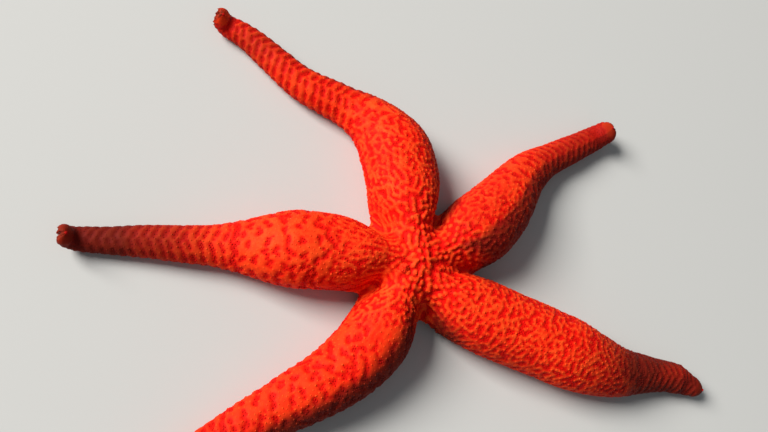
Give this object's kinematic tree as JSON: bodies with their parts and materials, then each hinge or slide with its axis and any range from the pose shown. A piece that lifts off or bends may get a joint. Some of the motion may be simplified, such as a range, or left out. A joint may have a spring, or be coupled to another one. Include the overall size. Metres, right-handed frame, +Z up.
{
  "type": "starfish",
  "caption": "Life-size red starfish lying flat: a small disc with long, round, bent arms that taper to upturned tips, and a grooved underside.",
  "frame": {"origin": "on the floor under the middle of the whole animal's box", "axes": "+Z up, away from the floor; +X along the longest way across the spread arms; +Y in the floor's plane"},
  "size_m": [0.2136, 0.1528, 0.0192],
  "materials": {
    "skin": "wet, leathery red skin: a net of bright orange-red ridges round darker red pits",
    "madreporite": "chalky orange sieve plate with winding grooves",
    "mouth_skin": "thin soft skin, paler than the back",
    "eyespot": "small dark red wet bead"
  },
  "bodies": {
    "root": {"disc": "skin", "mouth": "mouth_skin", "madreporite": "madreporite", "arm_1_base": "skin", "arm_1_middle": "skin", "arm_1_tip": "skin", "arm_2_base": "skin", "arm_2_middle": "skin", "arm_2_tip": "skin", "arm_3_base": "skin", "arm_3_middle": "skin", "arm_3_tip": "skin", "arm_4_base": "skin", "arm_4_middle": "skin", "arm_4_tip": "skin", "arm_5_base": "skin", "arm_5_middle": "skin", "arm_5_tip": "skin", "arm_1_eyespot": "eyespot", "arm_2_eyespot": "eyespot", "arm_3_eyespot": "eyespot", "arm_4_eyespot": "eyespot", "arm_5_eyespot": "eyespot"}
  },
  "joints": []
}
